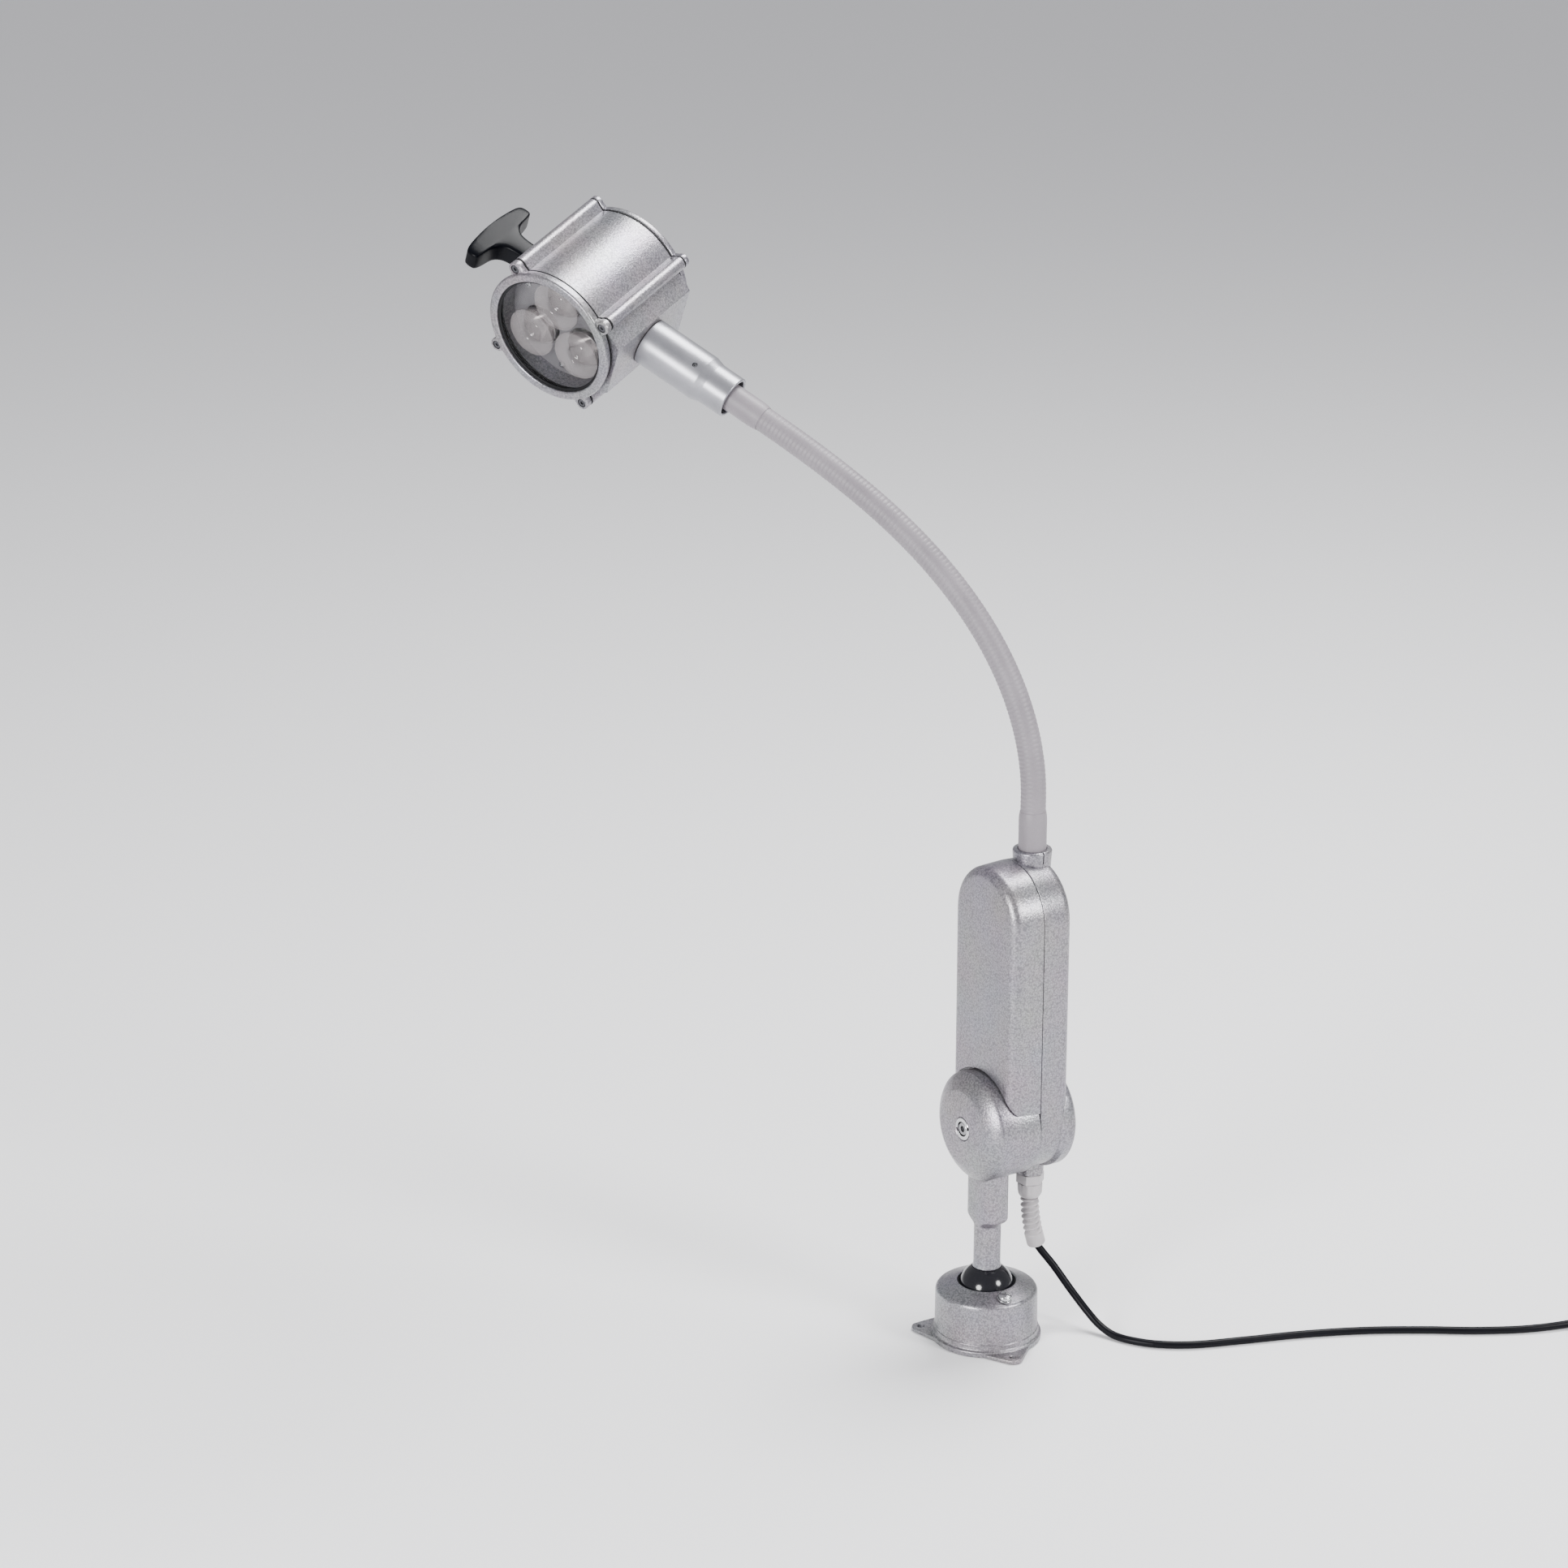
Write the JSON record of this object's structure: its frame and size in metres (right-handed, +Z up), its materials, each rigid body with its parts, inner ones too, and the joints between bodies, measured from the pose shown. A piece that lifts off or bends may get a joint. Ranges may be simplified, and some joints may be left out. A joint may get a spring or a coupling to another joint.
{
  "type": "examination lamp",
  "caption": "Bench or wall examination lamp: ball base, hinged housing, gooseneck and a round head with a T-shaped handle.",
  "frame": {"origin": "centre of the base's underside, on the surface that it is screwed to", "axes": "+Z up out of the base, +Y along the elbow's hinge axis towards the cable gland's side, +X across the housing"},
  "size_m": [0.8015, 0.7029, 0.8229],
  "materials": {
    "hammertone": "fine-textured silver-grey powder coat on cast aluminium",
    "satin_aluminium": "satin",
    "steel": "machined",
    "zinc": "bright zinc plate",
    "brass": "plain",
    "gloss_black": "high gloss black",
    "black_plastic": "satin moulded",
    "black_rubber": "matt",
    "grey_sheath": "matt mauve-grey sheath over a steel gooseneck",
    "gland_grey": "moulded polyamide",
    "clear_glass": "polished",
    "lens_acrylic": "clear acrylic",
    "white_board": "white solder mask",
    "cord_black": "semi-matt cable jacket"
  },
  "bodies": {
    "base": {"base_cup": "hammertone", "clamp_washer": "zinc", "clamp_screw": "zinc", "base_plate": "steel", "pressure_spring": "steel", "cord_floor": "cord_black", "cord_coil": "cord_black", "coil_tie": "black_rubber", "cord_tail": "cord_black", "plug_body": "cord_black", "plug_pin_1": "brass", "plug_pin_2": "brass"},
    "swivel": {"seat_ring": "black_plastic", "pressure_plate": "steel"},
    "ball": {"ball": "gloss_black", "ball_stud": "steel"},
    "stem": {"stem": "hammertone", "ring_nut": "zinc", "hinge_bolt": "steel"},
    "arm": {"shell_left": "hammertone", "shell_right": "hammertone", "shell_screw_1": "zinc", "shell_screw_2": "zinc", "disc_spring": "steel", "hinge_nut": "zinc", "led_driver": "black_plastic", "terminal_block": "gland_grey", "gland_body": "gland_grey", "gland_nut": "gland_grey", "bend_guard": "gland_grey", "cord_hanging": "cord_black", "neck_link_0": "grey_sheath"},
    "neck_1": {"neck_link_1": "grey_sheath"},
    "neck_2": {"neck_link_2": "grey_sheath"},
    "neck_3": {"neck_link_3": "grey_sheath"},
    "neck_4": {"neck_link_4": "grey_sheath"},
    "neck_5": {"neck_link_5": "grey_sheath", "neck_socket": "satin_aluminium", "grub_screw": "steel"},
    "head": {"lamp_body": "hammertone", "front_gasket": "black_rubber", "rear_gasket": "black_rubber", "front_bezel": "hammertone", "rear_cover": "hammertone", "tie_screw_1": "steel", "tie_screw_2": "steel", "tie_screw_3": "steel", "tie_screw_4": "steel", "front_glass": "clear_glass", "glass_seal": "black_rubber", "lens_plate": "satin_aluminium", "lens_1": "lens_acrylic", "lens_2": "lens_acrylic", "lens_3": "lens_acrylic", "led_board": "white_board", "heat_sink": "satin_aluminium", "neck_retaining_nut": "steel", "t_handle": "black_plastic", "handle_insert": "brass"}
  },
  "joints": [
    {"name": "base_swivel", "type": "hinge", "parent": "base", "child": "swivel", "pos_m": [0, 0, 0.0385], "axis": [0, 0, 1], "range_deg": [-170, 170]},
    {"name": "ball_tilt", "type": "hinge", "parent": "swivel", "child": "ball", "pos_m": [0, 0, 0.0385], "axis": [0, 1, 0], "range_deg": [-35, 35]},
    {"name": "stem_spin", "type": "hinge", "parent": "ball", "child": "stem", "pos_m": [0, 0, 0.0385], "axis": [0, 0, 1], "range_deg": [-170, 170]},
    {"name": "elbow", "type": "hinge", "parent": "stem", "child": "arm", "pos_m": [0, 0, 0.1728], "axis": [0, 1, 0], "range_deg": [-80, 80]},
    {"name": "neck_bend_1", "type": "hinge", "parent": "arm", "child": "neck_1", "pos_m": [-0.00092, 0.03343, 0.44065], "axis": [0.5292, -0.8485, 0], "range_deg": [-12.3, 6]},
    {"name": "neck_bend_2", "type": "hinge", "parent": "neck_1", "child": "neck_2", "pos_m": [-0.00885, 0.02848, 0.4823], "axis": [0.5292, -0.8485, 0], "range_deg": [-12.3, 6]},
    {"name": "neck_bend_3", "type": "hinge", "parent": "neck_2", "child": "neck_3", "pos_m": [-0.02669, 0.01735, 0.52696], "axis": [0.5292, -0.8485, 0], "range_deg": [-12.3, 6]},
    {"name": "neck_bend_4", "type": "hinge", "parent": "neck_3", "child": "neck_4", "pos_m": [-0.05829, -0.00236, 0.57493], "axis": [0.5292, -0.8485, 0], "range_deg": [-12.3, 6]},
    {"name": "neck_bend_5", "type": "hinge", "parent": "neck_4", "child": "neck_5", "pos_m": [-0.11616, -0.03845, 0.63088], "axis": [0.5292, -0.8485, 0], "range_deg": [-12.3, 6]},
    {"name": "head_turn", "type": "hinge", "parent": "neck_5", "child": "head", "pos_m": [-0.30398, -0.15558, 0.75056], "axis": [-0.7533, -0.4698, 0.4602], "range_deg": [-150, 150]}
  ],
  "couplings": [
    {"joint": "neck_bend_2", "follows": "neck_bend_1", "ratio": 1},
    {"joint": "neck_bend_3", "follows": "neck_bend_1", "ratio": 1},
    {"joint": "neck_bend_4", "follows": "neck_bend_1", "ratio": 1},
    {"joint": "neck_bend_5", "follows": "neck_bend_1", "ratio": 1}
  ]
}
